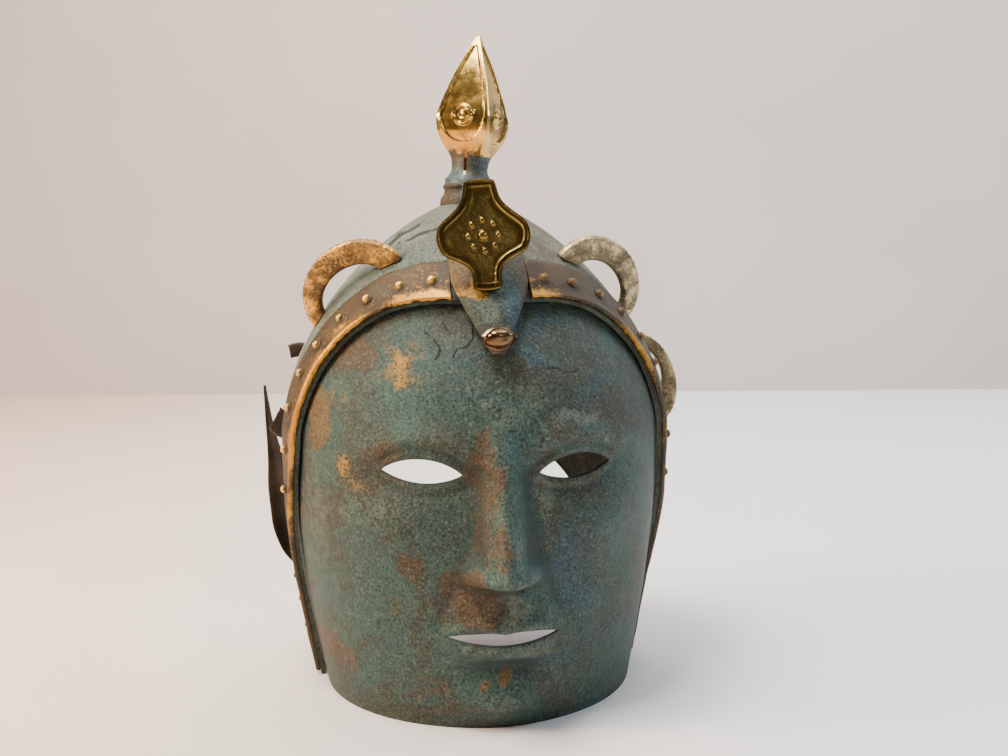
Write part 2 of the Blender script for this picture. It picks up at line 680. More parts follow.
CRACKS = [
    [(-47, 215), (-41, 218.5), (-34, 220), (-28, 223.5), (-21, 225), (-14, 229)],
    [(-41, 218.5), (-37, 224), (-29, 227.5), (-24, 231)],
]


def bowl_point(across, back, offset):
    middle = Vector((0, 0, WIDEST_HEIGHT))
    sign = 1 if across >= 0 else -1
    front_turn, front_height = along_table(FACE_EDGE, abs(across))
    rear_turn, rear_height = along_table(NAPE_RIM, abs(across))
    start = (form_point(sign * front_turn, front_height) - middle).normalized()
    end = (form_point(sign * rear_turn, rear_height) - middle).normalized()
    angle = math.acos(max(-1.0, min(1.0, start.dot(end))))
    direction = (start * math.sin((1 - back) * angle) + end * math.sin(back * angle)) / math.sin(angle)
    point = form_along(direction.normalized(), offset)
    if abs(across) == 1:
        point.z = 0.0
    return point


def build_bowl(material):
    rows, columns = ((160, 250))
    grids = []
    for offset in (0.0, -BOWL_WALL):
        grid = []
        for i in range(rows + 1):
            grid.append([bowl_point(2 * j / columns - 1, i / rows, offset) for j in range(columns + 1)])
        grids.append(grid)
    points, faces = shell_parts(*grids)
    layers = {kind: [0.0] * len(points) for kind in KINDS}
    outer = len(points) // 2
    for k, p in enumerate(points):
        wave = noise.noise(p * 22)
        ripple = noise.noise(p * 75)
        x, y, z = p.x / MM, p.y / MM, p.z / MM
        if y < 2 and z > 200:
            for line in CRACKS:
                reach = line_distance(x + ripple * 2.2, z + wave * 1.5, line)
                layers["crack"][k] = max(layers["crack"][k], hump(reach, 1.5))
        layers["pale"][k] = soft_step(z, 175, 235) * 0.8 + 0.15
        near_band = hump(y + 38, 16) * soft_step(z, 185, 200)
        layers["brown"][k] = max(0.0, 0.75 * near_band + wave + 0.25 * ripple)
        layers["ochre"][k] = 0.85 * hump(x + 90, 12) * hump(z - 150, 22) * hump(y + 10, 30)
        layers["teal"][k] = max(0.0, 0.6 * ripple - 0.9 * wave + 0.35 * hump(z - 120, 50))
        if k >= outer:
            layers["dark"][k] = 0.45
    for k in range(outer):
        p = points[k]
        if layers["crack"][k] > 0.05:
            p -= (p - Vector((0, 0, WIDEST_HEIGHT))).normalized() * 0.5 * MM * layers["crack"][k]
        if k < 3 * (columns + 1):
            layers["dark"][k] = 0.7
    mesh = mesh_of("skull", points, faces)
    return add_piece("skull", mesh, material, ["skull_bowl"], layers)


def band_point(along, across, offset):
    sign = 1 if along >= 0 else -1
    inner_turn, inner_height = along_table(FACE_EDGE, abs(along))
    outer_turn, outer_height = along_table(BAND_EDGE, abs(along))
    turn = inner_turn + (outer_turn - inner_turn) * across
    height = inner_height + (outer_height - inner_height) * across
    return form_point(sign * turn, max(height, BAND_FOOT), offset)


def band_start():
    for k in range(1, 200):
        if min(abs(band_point(k / 400, across, 0).x) for across in (0, 0.5, 1)) > 17.3 * MM:
            return k / 400
    return 0.1


STUD_PLACES = [0.095, 0.160, 0.241, 0.318, 0.400, 0.473, 0.548, 0.634, 0.715, 0.877, 0.912, 0.946]


def build_band(side, sign, material):
    steps, wide = 260, 22
    start = band_start() - 0.006
    stud_spots = [band_point(sign * share, 0.5, SEAM_GAP + BAND_THICKNESS) for share in STUD_PLACES]
    grids = [[], []]
    wears, darks = [], []
    for i in range(wide + 1):
        across = i / wide
        rows = [[], []]
        for j in range(steps + 1):
            along = sign * (start + (1 - start) * j / steps)
            p = band_point(along, across, 0)
            ripple = noise.noise(p * 90)
            swell = noise.noise(p * 34)
            ragged = noise.noise(p * 240)
            shifted = across
            if i in (0, wide):
                shifted = across + (0.05 if i == 0 else -0.05) * abs(ragged + 0.6 * ripple)
            edge = min(across, 1 - across) * 19
            round_off = 0.9 * MM * hump(edge, 1.1)
            lip = 0.55 * MM * hump(across - 0.08, 0.08) - 0.25 * MM * hump(across - 0.25, 0.10)
            top = SEAM_GAP + BAND_THICKNESS - round_off + lip + (ripple * 0.28 + swell * 0.35) * MM
            rows[0].append(band_point(along, shifted, max(top, SEAM_GAP + 0.4 * MM)))
            rows[1].append(band_point(along, shifted, SEAM_GAP))
            low = 1 - soft_step(abs(along), 0.62, 0.90)
            rim = hump(across - 0.05, 0.17 + 0.12 * ripple)
            bright = max(0.0, 0.85 + 1.1 * swell + 0.5 * ripple) if sign < 0 else max(0.0, 0.34 + 0.9 * swell)
            body = (0.30 if sign < 0 else 0.10) + 0.45 * swell
            wears.append(low * (rim * bright + body) + 0.12)
            near = min((p - spot).length for spot in stud_spots) / MM
            dirt = hump(max(0.0, near - 3.0), 1.3) * (near > 2)
            darks.append(0.55 * hump(across - 0.99, 0.06) + 0.65 * dirt)
        grids[0].append(rows[0])
        grids[1].append(rows[1])
    points, faces = shell_parts(*grids)
    mesh = mesh_of("band_" + side, points, faces)
    layers = {"wear": wears + wears, "dark": darks + darks}
    return add_piece("band_" + side, mesh, material, ["brow_band_" + side], layers)


def band_frame(along, across, offset):
    place = band_point(along, across, offset)
    step = 0.01
    one = band_point(along + step, across, offset) - band_point(along - step, across, offset)
    two = band_point(along, across + step, offset) - band_point(along, across - step, offset)
    out = one.cross(two).normalized()
    if out.dot(place - Vector((0, 0, WIDEST_HEIGHT))) < 0:
        out = -out
    return facing(place, out)


def facing(place, out):
    """Matrix of a frame at a place whose Z axis points out."""
    return Matrix.Translation(place) @ out.to_track_quat("Z", "Y").to_matrix().to_4x4()


def dome_rings(radius, rise, matrix, sides=24, seed=0.0, lump=0.06):
    profile = [(1.16, 0.0), (1.20, 0.08), (1.10, 0.16), (0.97, 0.20)]
    for k in range(1, 9):
        angle = math.pi / 2 * k / 8.3
        profile.append((0.95 * math.cos(angle), 0.22 + 0.78 * math.sin(angle)))
    rings = []
    for r, h in profile:
        ring = []
        for m in range(sides):
            a = 2 * math.pi * m / sides
            p = Vector((radius * r * math.cos(a), radius * r * math.sin(a), rise * h))
            wob = noise.noise(Vector((p.x * 300 + seed, p.y * 300, p.z * 300 + seed)))
            p *= 1 + lump * wob
            p.z = max(p.z, 0)
            ring.append(matrix @ p)
        rings.append(ring)
    return rings


def build_studs(side, sign, material):
    lift = SEAM_GAP + BAND_THICKNESS + 0.12 * MM
    points, faces, wears = [], [], []
    for k, share in enumerate(STUD_PLACES):
        small = 0.7 if k > 8 else 1.0
        matrix = band_frame(sign * share, 0.5, lift)
        rings = dome_rings(2.15 * MM * small, 2.3 * MM * small, matrix, seed=k * 3.7)
        more, more_faces = loft_parts(rings, len(points))
        tone = (0.85 if k < 9 else 0.25) * (1.0 if sign < 0 else 0.55)
        for m in range(len(more)):
            wears.append(tone * soft_step(m / len(more), 0.15, 0.6))
        points += more
        faces += more_faces
    mesh = mesh_of("studs_" + side, points, faces)
    nodes = [f"stud_{side}_{k:02d}" for k in range(1, 13)]
    layers = {"wear": wears, "dark": [0.0] * len(points)}
    return add_piece("studs_" + side, mesh, material, nodes, layers)


# Peak, knob and plaque

PEAK_HALF_WIDTH = 17 * MM
PEAK_TOP = 214 * MM
PEAK_TIP = 170 * MM
PEAK_THICKNESS = 3.2 * MM
PEAK_CREST = 1.2 * MM
KNOB_RADIUS = 5.2 * MM
KNOB_STRETCH = 1.4
KNOB_HEIGHT = 176.5 * MM


def peak_point(across, down, offset):
    height = PEAK_TOP + (PEAK_TIP - PEAK_TOP) * down
    narrow = 1 - 0.85 * max(0.0, (down - 0.30) / 0.70) ** 1.15
    x = across * (PEAK_HALF_WIDTH + 0.5 * MM) * narrow
    share = HALF_WIDTH * form_share(height, offset) + offset
    return form_point(math.asin(max(-1.0, min(1.0, x / share))), height, offset)


def build_peak(material):
    rows, columns = 110, 60
    grids = [[], []]
    layers = {kind: [] for kind in KINDS}
    for i in range(rows + 1):
        down = i / rows
        lines = [[], []]
        for j in range(columns + 1):
            across = 2 * j / columns - 1
            edge = min(1 - abs(across), (1 - down) * 2.6, down * 2.6)
            round_off = 1.5 * MM * hump(edge, 0.14)
            lift = SEAM_GAP + PEAK_THICKNESS + PEAK_CREST * (1 - across * across) - round_off
            p = peak_point(across, down, lift)
            bumpy = noise.noise(p * 140) * 0.3 * MM + noise.noise(p * 60) * 0.4 * MM
            p.y -= bumpy * min(1.0, edge * 4)
            lines[0].append(p)
            lines[1].append(peak_point(across, down, SEAM_GAP - 2.2 * MM * soft_step(down, 0.45, 0.62)))
            x = p.x / MM
            z = p.z / MM
            left = soft_step(-x, -1, 6) * soft_step(z, 190, 197)
            layers["gold"].append(0.8 * left * (hump(x + 6, 3) + hump(z - 195, 4)) * soft_step(z, 190, 194))
            layers["ochre"].append(0.75 * left * soft_step(-x, 4, 12))
            tip = 0.95 * hump(x, 8) * hump(z - 174, 6)
            layers["brown"].append(tip + 0.9 * left + 0.75 * soft_step(x, 10, 14))
            layers["teal"].append(0.2)
            layers["blue"].append(0.9 * hump(x - 8, 6) * hump(z - 190, 14))
            layers["pale"].append(0.65 * hump(x + 2, 7) * hump(z - 188, 8))
            layers["dark"].append(0.35 * hump(edge, 0.05))
            layers["crack"].append(0.0)
        grids[0].append(lines[0])
        grids[1].append(lines[1])
    points, faces = shell_parts(*grids)
    mesh = mesh_of("peak", points, faces)
    both = {kind: values + values for kind, values in layers.items()}
    return add_piece("peak", mesh, material, ["brow_peak"], both)


def build_knob(material):
    lift = PEAK_THICKNESS + 2 * SEAM_GAP + PEAK_CREST
    place = form_point(0, KNOB_HEIGHT, lift)
    up = form_point(0, KNOB_HEIGHT + 4 * MM, lift) - form_point(0, KNOB_HEIGHT - 4 * MM, lift)
    out = Vector((1, 0, 0)).cross(up.normalized())
    out = -out if out.y > 0 else out
    matrix = facing(place, out) @ Matrix.Diagonal((KNOB_STRETCH, 1, 1, 1))
    rings = dome_rings(KNOB_RADIUS * 0.86, KNOB_RADIUS, matrix, sides=40, seed=5, lump=0.12)
    points, faces = loft_parts(rings)
    mesh = mesh_of("knob", points, faces)
    wears = [soft_step(k / len(points), 0.55, 1.0) * 0.8 for k in range(len(points))]
    layers = {"wear": wears, "dark": [0.0] * len(points)}
    return add_piece("knob", mesh, material, ["brow_knob"], layers)


PLAQUE_WIDTH = 42 * MM
PLAQUE_HEIGHT = 50 * MM
PLAQUE_THICKNESS = 2.6 * MM
PLAQUE_FOOT = 196 * MM
PLAQUE_LEAN = math.radians(8)
PLAQUE_TURN = math.radians(-3)
PLAQUE_SIDE = -3.6 * MM
PLAQUE_FORM = [
    (0.25, 0.00), (0.31, 0.06), (0.31, 0.17), (0.44, 0.25), (0.66, 0.30), (0.86, 0.34),
    (0.97, 0.42), (1.00, 0.50), (0.94, 0.60), (0.76, 0.67), (0.56, 0.74), (0.41, 0.82),
    (0.36, 0.91), (0.33, 0.97), (0.23, 1.00),
]

# Section of the rim from the back to the field: inset, depth and tarnish
PLAQUE_RIM = [
    (2.4, 2.5, 0.15), (0.5, 2.6, 0.15), (0.0, 2.1, 0.15), (0.0, 0.7, 0.15), (0.25, 0.2, 0.15),
    (0.8, 0.0, 0.15), (1.3, 0.15, 0.15), (1.7, 0.75, 0.85), (2.1, 0.85, 0.85), (2.5, 0.40, 0.15),
    (3.0, 0.35, 0.15), (3.5, 0.75, 0.85), (3.9, 0.95, 0.85),
]
DOT_COUNT = 8
DOT_CIRCLE = 6.7


def plaque_outline(inset):
    """Smooth closed outline of the plaque, moved in by an inset."""
    right = []
    for k in range(113):
        at = (len(PLAQUE_FORM) - 1) * k / 112
        across, up = column_at(PLAQUE_FORM, 0, at), column_at(PLAQUE_FORM, 1, at)
        right.append((PLAQUE_WIDTH / 2 * across, PLAQUE_HEIGHT * (up - 0.5)))
    outline = right + [(-x, z) for x, z in reversed(right)]
    count = len(outline)
    smooth = []
    for k in range(count):
        near = [outline[(k + m) % count] for m in range(-4, 5)]
        smooth.append((sum(p[0] for p in near) / 9, sum(p[1] for p in near) / 9))
    made = []
    for k in range(count):
        before, after = smooth[(k - 2) % count], smooth[(k + 2) % count]
        along = Vector((after[0] - before[0], after[1] - before[1])).normalized()
        made.append((smooth[k][0] - along.y * inset, smooth[k][1] + along.x * inset))
    return made


def build_plaque(material):
    half = PLAQUE_THICKNESS / 2
    lofts, darks = [], []
    for inset, depth, tone in PLAQUE_RIM:
        loft = [Vector((x, depth * MM - half, z)) for x, z in plaque_outline(inset * MM)]
        lofts.append(loft)
        darks += [tone] * len(loft)
    points, faces = loft_parts(lofts, caps=False)
    count = len(lofts[0])
    faces.append(tuple(range(count)))
    last = (len(lofts) - 1) * count
    floor = PLAQUE_RIM[-1][1] * MM - half
    centre_ring = last
    for s in (0.8, 0.6, 0.4, 0.2):
        base = len(points)
        for k in range(count):
            p = points[last + k]
            lump = noise.noise(Vector((p.x * s * 160, 3.3, p.z * s * 160)))
            points.append(Vector((p.x * s, floor - 0.12 * MM * abs(lump), p.z * s)))
            darks.append(0.45 + 0.3 * lump)
        for k in range(count):
            a, b = centre_ring + k, centre_ring + (k + 1) % count
            faces.append((a, b, base + (k + 1) % count, base + k))
        centre_ring = base
    faces.append(tuple(centre_ring + k for k in range(count)))
    bumps = [(0.0, 0.0, 2.9, 1.7)]
    for k in range(DOT_COUNT):
        turn = 2 * math.pi * k / DOT_COUNT
        bumps.append((DOT_CIRCLE * math.cos(turn), DOT_CIRCLE * math.sin(turn), 1.7, 1.25))
    for x, z, radius, rise in bumps:
        matrix = Matrix.Translation((x * MM, floor + 0.1 * MM, z * MM)) @ Matrix.Rotation(math.pi / 2, 4, "X")
        rings = dome_rings(radius * MM * 0.86, rise * MM, matrix, 20, x)
        more, more_faces = loft_parts(rings, len(points))
        points += more
        faces += more_faces
        darks += [0.55 - 0.55 * soft_step(m / len(more), 0.25, 0.5) for m in range(len(more))]
    lift = PEAK_THICKNESS + 2 * SEAM_GAP + PEAK_CREST
    toe = form_point(0, PLAQUE_FOOT, lift)
    forward = toe.y - half + math.tan(PLAQUE_LEAN) * PLAQUE_HEIGHT / 2
    middle = (PLAQUE_SIDE, forward, PLAQUE_FOOT + PLAQUE_HEIGHT / 2)
    turned = Matrix.Rotation(PLAQUE_TURN, 4, "Y")
    place = Matrix.Translation(middle) @ turned @ Matrix.Rotation(-PLAQUE_LEAN, 4, "X")
    foot = []
    for y, low, high in ((0.5, -24, -16), (3.5, -23, -17), (6.0, -21, -17)):
        corners = ((-4.5, low), (4.5, low), (4.5, high), (-4.5, high))
        foot.append([Vector((x * MM, y * MM, z * MM)) for x, z in corners])
    more, more_faces = loft_parts(foot, len(points))
    points += more
    faces += more_faces
    darks += [0.6] * len(more)
    points = [place @ p for p in points]
    mesh = mesh_of("plaque", points, faces, angle=35)
    zero = [0.0] * len(points)
    layers = {"dark": darks, "green": zero, "red": zero}
    return add_piece("plaque", mesh, material, ["front_plaque"], layers)


# Collar and finial

COLLAR_RADIUS = 15 * MM
FINIAL_HEIGHT = 71 * MM
FINIAL_RADIUS = 19.5 * MM
FOOT_RADIUS = 13 * MM
FINIAL_LEAN = math.radians(5)
FINIAL_TURN = math.radians(14)
FINIAL_FORM = [
    (0.000, 0.68), (0.030, 0.58), (0.075, 0.505), (0.140, 0.54), (0.200, 0.68), (0.270, 0.85), (0.340, 0.96),
    (0.415, 1.00), (0.500, 0.92), (0.610, 0.77), (0.720, 0.60), (0.820, 0.42), (0.920, 0.22), (1.000, 0.06),
]
FINIAL_WIDEST = 0.415
VOLUTE_LEVEL = 0.445
VOLUTE_REACH = 7
PANEL_RADIUS = 11.2
PANEL_MARGIN = 2.1
COLLAR_FORM = [(-10, 0.70), (-5, 1.00), (-1, 0.97), (1.5, 0.86), (3.5, 0.82), (5.2, 0.88), (6.5, 0.85)]


def build_collar(material):
    sides, levels = 96, 60
    rings = []
    layers = {kind: [] for kind in KINDS}
    for i in range(levels + 1):
        at = (len(COLLAR_FORM) - 1) * i / levels
        rise = column_at(COLLAR_FORM, 0, at)
        radius = column_at(COLLAR_FORM, 1, at) * COLLAR_RADIUS
        height = CROWN_HEIGHT + rise * MM
        ring = []
        for k in range(sides):
            turn = 2 * math.pi * k / sides
            p = Vector((radius * math.cos(turn), radius * math.sin(turn), height))
            bumpy = noise.noise(p * 120) * 0.35 * MM + noise.noise(p * 320) * 0.15 * MM
            p += Vector((math.cos(turn), math.sin(turn), 0)) * (bumpy - 0.2 * MM)
            ground = form_share(height, SEAM_GAP) * HALF_WIDTH + SEAM_GAP
            if height < CROWN_HEIGHT + SEAM_GAP and math.hypot(p.x, p.y) < ground:
                p.z = CROWN_HEIGHT - 3.2 * MM + (p.z - CROWN_HEIGHT) * 0.1
            ring.append(p)
            brown = noise.noise(p * 60)
            layers["brown"].append(max(0.0, 0.5 + brown) * (0.9 if p.x < 0 else 0.5))
            layers["pale"].append(0.45)
            layers["dark"].append(0.6 * hump(rise + 5, 2) + 0.35 * hump(rise - 3, 1.5))
            for kind in ("gold", "ochre", "teal", "blue", "crack"):
                layers[kind].append(0.25 if kind == "teal" else 0.0)
        rings.append(ring)
    points, faces = loft_parts(rings)
    mesh = mesh_of("collar", points, faces)
    return add_piece("collar", mesh, material, ["crown_collar"], layers)


def spiral_ridge(u, v):
    """Height of the volute at a place of the face, both in millimetres from its eye."""
    radius, turn = math.hypot(u, v), math.atan2(v, u)
    best = 9.0
    for wind in range(-1, 4):
        target = 0.9 + 2.3 * (turn / (2 * math.pi) + wind)
        if 0.6 <= target <= 5.6:
            best = min(best, abs(radius - target))
    return min(1.2, hump(best, 0.62) + hump(radius, 1.1))


def spoke(angle):
    return Vector((math.sin(angle), -math.cos(angle), 0))


def build_finial(material):
    levels, per_side = ((260, 54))
    rings = []
    darks, greens, reds = [], [], []
    for i in range(levels + 1):
        share = i / levels
        half_diagonal = FINIAL_RADIUS * smooth_table(FINIAL_FORM, share)
        height = FINIAL_HEIGHT * share
        roundness = 1 - soft_step(share, 0.10, 0.27)
        drop = max(0.0, FINIAL_WIDEST - share) * FINIAL_HEIGHT / MM
        ring = []
        for k in range(4):
            start, end = [spoke(m * math.pi / 2) * half_diagonal for m in (k, k + 1)]
            out = (start + end).normalized()
            width = (end - start).length / MM
            half_panel = width / 2 - PANEL_MARGIN
            if share < FINIAL_WIDEST:
                half_panel = min(half_panel, math.sqrt(max(0.0, PANEL_RADIUS**2 - drop * drop)))
            for m in range(per_side):
                along = m / per_side
                flat = start.lerp(end, along) + out * 0.02 * half_diagonal * math.sin(math.pi * along)
                angle = k * math.pi / 2 + along * math.pi / 2
                circle = spoke(angle) * half_diagonal * 0.92
                p = flat.lerp(circle, roundness)
                u = (along - 0.5) * width
                v = (share - VOLUTE_LEVEL) * FINIAL_HEIGHT / MM
                panel = soft_step(half_panel - abs(u), -0.35, 0.55) if half_panel > 0.6 else 0.0
                rim = hump(half_panel - abs(u) + 0.7, 0.5) if half_panel > 0.6 else 0.0
                curl = spiral_ridge(u if k % 2 else -u, v) if max(abs(u), abs(v)) < VOLUTE_REACH else 0.0
                rise = 0.22 * rim - 0.85 * panel + curl * panel
                p += out * (rise * MM)
                p.z = height
                dent = noise.noise(Vector((p.x, p.y, p.z)) * 110) * 0.10 * MM
                ring.append(p + out * dent)
                hollow = panel * (0.30 + 0.45 * hump(v, 7)) * (1 - min(1.0, curl))
                darks.append(hollow + 0.25 * (1 - panel) * hump(share - 0.2, 0.07))
                greens.append(1.15 * (1 - soft_step(share, 0.08, 0.27)))
                spin = (angle + math.pi) % (2 * math.pi) - math.pi
                reds.append(1.1 * hump(share - 0.15 - 0.05 * spin, 0.10) * hump(spin + 0.62, 0.09))
        rings.append(ring)
    points, faces = loft_parts(rings)
    foot = CROWN_HEIGHT + COLLAR_FORM[-1][0] * MM + SEAM_GAP + FOOT_RADIUS * math.sin(FINIAL_LEAN)
    place = (
        Matrix.Translation((0, 0, foot))
        @ Matrix.Rotation(FINIAL_LEAN, 4, "Y")
        @ Matrix.Rotation(FINIAL_TURN, 4, "Z")
    )
    points = [place @ p for p in points]
    for p in points[: 4 * per_side]:
        p.z = CROWN_HEIGHT + 5.6 * MM
    mesh = mesh_of("finial", points, faces, angle=42)
    layers = {"dark": darks, "green": greens, "red": reds}
    return add_piece("finial", mesh, material, ["crown_finial"], layers)


# Loops, stubs and ears

LOOP_DEPTH = 5 * MM
UPPER_LOOP_RISE = 24 * MM
LOWER_LOOP_RISE = 16.5 * MM
UPPER_LOOP_FEET = [(83.5, 0.752), (47, 0.872)]
LOWER_LOOP_FEET = [(88, 0.525), (91.5, 0.694)]
UPPER_LOOP_FORM = (1.10, 0.72, 0.52, -0.06)
LOWER_LOOP_FORM = (1.14, 0.66, 0.60, 0.14)
BAR_SECTION = [
    (0.00, 0.55), (0.03, 0.80), (0.10, 0.96), (0.25, 1.00), (0.50, 1.02), (0.75, 1.00), (0.90, 0.95),
    (0.97, 0.78), (1.00, 0.50), (1.01, 0.00), (1.00, -0.50), (0.97, -0.78), (0.90, -0.95), (0.75, -1.00),
    (0.50, -1.02), (0.25, -1.00), (0.10, -0.96), (0.03, -0.80), (0.00, -0.55), (-0.01, 0.00),
]
STUB_SHARE = 0.15
EAR_THICKNESS = 2.2 * MM
EAR_CUP = 3.2 * MM
EAR_BLADE = [
    (0.215, 100, 0.3, 2.0, 0.0),
    (0.265, 100, 0.3, 9.0, -3.0),
    (0.330, 101, 0.3, 12.0, -5.0),
    (0.390, 103, 1.5, 11.8, -5.0),
    (0.445, 106, 6.0, 8.4, -4.0),
    (0.500, 108, 11.0, 5.0, -2.0),
    (0.555, 110, 15.4, 2.8, -0.5),
    (0.603, 112, 20.6, 1.4, 0.5),
]


def loop_frame(feet, sign):
    low, high = [form_point(sign * math.radians(turn), share * CROWN_HEIGHT) for turn, share in feet]
    middle = (low + high) / 2
    along = (high - low).normalized()
    out = Vector((sign, 0, max(0.0, (middle.z - WIDEST_HEIGHT) / CROWN_HEIGHT) * 4))
    out = (out - along * out.dot(along)).normalized()
    return middle, along, out, (high - low).length / 2


def crescent_edges(form, half, rise, turn):
    outer_half, inner_half, inner_rise, shift = form
    inner = (half * (shift - inner_half * math.cos(turn)), rise * inner_rise * math.sin(turn))
    outer = (-half * outer_half * math.cos(turn), rise * math.sin(turn))
    return Vector(inner), Vector(outer)


def loop_section(frame_of_loop, inner, outer, notch, seed):
    """Ring round a flat bar with rounded edges, its outer edge slightly serrated."""
    middle, along, out, _ = frame_of_loop
    face = along.cross(out)
    half = LOOP_DEPTH / 2
    width = (outer - inner).length
    ring, wear = [], []
    for s, d in BAR_SECTION:
        place = inner.lerp(outer, s - (notch if s > 0.9 else 0.0) / max(width, 1e-6))
        p = middle + along * place.x + out * place.y - face * (d * half)
        lump = noise.noise(Vector((p.x * 150 + seed, p.y * 150, p.z * 150)))
        p += face * (0.18 * MM * lump)
        ring.append(p)
        wear.append(0.55 + 0.35 * (s - 0.5) + 0.35 * lump)
    return ring, wear


def cut_seat(piece):
    """Cut the foot of a bar to the head form."""
    rings = []
    offset = 1.3 * SEAM_GAP
    for i in range(40):
        height = -0.02 + (CROWN_HEIGHT + offset + 0.02) * math.sin(math.pi / 2 * i / 40)
        rings.append([form_point(2 * math.pi * k / 120, height, offset) for k in range(120)])
    apply_cut(piece, new_object("seat", mesh_of("seat", *loft_parts(rings))))


def apply_cut(piece, cutter):
    cut = piece.modifiers.new("cut", "BOOLEAN")
    cut.operation, cut.solver, cut.object = "DIFFERENCE", "EXACT", cutter
    with bpy.context.temp_override(object=piece, active_object=piece, selected_objects=[piece]):
        bpy.ops.object.modifier_apply(modifier=cut.name)
    bpy.data.objects.remove(cutter, do_unlink=True)


def bar_piece(name, frame_of_loop, form, rise, turns, material, node, tone, ragged=0.0, darken=0.0):
    rings, wears = [], []
    half = frame_of_loop[3]
    first, last = turns[0], turns[-1]
    for turn in turns:
        inner, outer = crescent_edges(form, half, rise, turn)
        notch = 0.40 * MM * (0.5 + 0.5 * math.sin(turn * 44)) if 0.2 < turn < 2.9 else 0.0
        ring, wear = loop_section(frame_of_loop, inner, outer, notch, 3.0)
        rings.append(ring)
        wears.append(wear)
    bury = frame_of_loop[2] * -8 * MM
    for at_end, turn in ((False, first), (True, last)):
        if abs(math.sin(turn)) < 0.02:
            ring = [p + bury for p in (rings[-1] if at_end else rings[0])]
            if at_end:
                rings.append(ring)
                wears.append(wears[-1])
            else:
                rings.insert(0, ring)
                wears.insert(0, wears[0])
    if ragged:
        end = rings[-1] if abs(math.sin(last)) >= 0.02 else rings[0]
        for k, p in enumerate(end):
            end[k] = p + frame_of_loop[2] * ragged * noise.noise(p * 900)
    points, faces = loft_parts(rings)
    flat = [tone * w for ring in wears for w in ring]
    mesh = mesh_of(name, points, faces, angle=55)
    piece = add_piece(name, mesh, material, [node], {"wear": flat, "dark": [darken] * len(points)})
    cut_seat(piece)
    return piece


def build_loops(left_material, right_material, stub_material):
    turns = [math.pi * k / 96 for k in range(97)]
    for side, sign, material in (("left", 1, right_material), ("right", -1, left_material)):
        bar_piece(
            "hoop_upper_" + side, loop_frame(UPPER_LOOP_FEET, sign), UPPER_LOOP_FORM, UPPER_LOOP_RISE,
            turns, material, "upper_loop_" + side, 1.0,
        )
    bar_piece(
        "hoop_lower", loop_frame(LOWER_LOOP_FEET, 1), LOWER_LOOP_FORM, LOWER_LOOP_RISE,
        turns, right_material, "lower_loop_left", 0.95,
    )
    frame_of_loop = loop_frame(LOWER_LOOP_FEET, -1)
    low = [math.pi * STUB_SHARE * k / 16 for k in range(17)]
    high = [math.pi * (1 - STUB_SHARE * k / 16) for k in range(17)]
    for end, stub_turns in (("lower", low), ("upper", high)):
        bar_piece(
            "root_" + end, frame_of_loop, LOWER_LOOP_FORM, LOWER_LOOP_RISE, stub_turns, stub_material,
            "loop_stub_" + end, 0.5, 0.8 * MM, 0.3,
        )


def build_ear(side, sign, material):
    steps, wide = 90, 20
    grids = [[], []]
    wears, darks = [], []
    for i in range(steps + 1):
        at = (len(EAR_BLADE) - 1) * i / steps
        share, turn, lift, reach, sweep = [column_at(EAR_BLADE, column, at) for column in range(5)]
        root = form_point(math.radians(turn), share * CROWN_HEIGHT, lift * MM + 0.1 * MM)
        outer = root + Vector((reach * MM, sweep * MM, 0))
        width = (outer - root).length
        thick = EAR_THICKNESS * (0.55 + 0.45 * math.sin(math.pi * min(1.0, 0.15 + i / steps)))
        lines = [[], []]
        for j in range(wide + 1):
            u = j / wide
            cup = EAR_CUP * math.sin(math.pi * u) * min(1.0, width / (11 * MM))
            rolled = 0.55 * MM * hump(u - 0.93, 0.07) - 0.35 * MM * hump(u - 0.62, 0.20)
            slim = 1 - 0.55 * hump(1 - u, 0.06) - 0.55 * hump(u, 0.05)
            for index, line in enumerate(lines):
                side_of = index - 0.5
                p = root.lerp(outer, u)
                p.y += cup + side_of * thick * slim - (rolled if index == 0 else 0)
                p.y += noise.noise(p * 110) * 0.25 * MM
                p.x *= sign
                line.append(p)
            wears.append(0.55 * hump(u - 0.95, 0.10) + 0.1)
            darks.append(0.5 * hump(u - 0.45, 0.3))
        grids[0].append(lines[0])
        grids[1].append(lines[1])
    points, faces = shell_parts(*grids)
    mesh = mesh_of("ear_blade_" + side, points, faces)
    layers = {"wear": wears + wears, "dark": darks + [0.1] * len(darks)}
    return add_piece("ear_blade_" + side, mesh, material, ["ear_" + side], layers)


# Stage, light and camera


def floor_material():
    n = Nodes(bpy.data.materials.new("cloth"))
    threads = []
    for direction in ("X", "Y"):
        weave = n.new("TexWave", {"Scale": 380, "Vector": n.place})
        weave.bands_direction = direction
        threads.append(weave.outputs["Fac"])
    wide = n.noise(3, 3, 0.5)
    sides = n.new("SeparateXYZ", {"Vector": n.place})
    across = n.ramp(sides.outputs["X"], -0.55, 0.40)
    colour = n.mix(across, (0.80, 0.575, 0.420), (0.820, 0.850, 0.900))
    colour = n.mix(n.ramp(wide, 0.3, 0.7, 0.0, 0.15), colour, (0.82, 0.80, 0.79))
    n.bump(n.math("ADD", *threads), 0.25, 0.3 * MM)
    return n.finish(colour, 0.0, 0.85)


def wall_material():
    n = Nodes(bpy.data.materials.new("wall"))
    cloudy = n.ramp(n.noise(2.5, 3), 0.3, 0.7)
    return n.finish(n.mix(cloudy, (0.57, 0.505, 0.475), (0.62, 0.550, 0.515)), 0.0, 0.9)


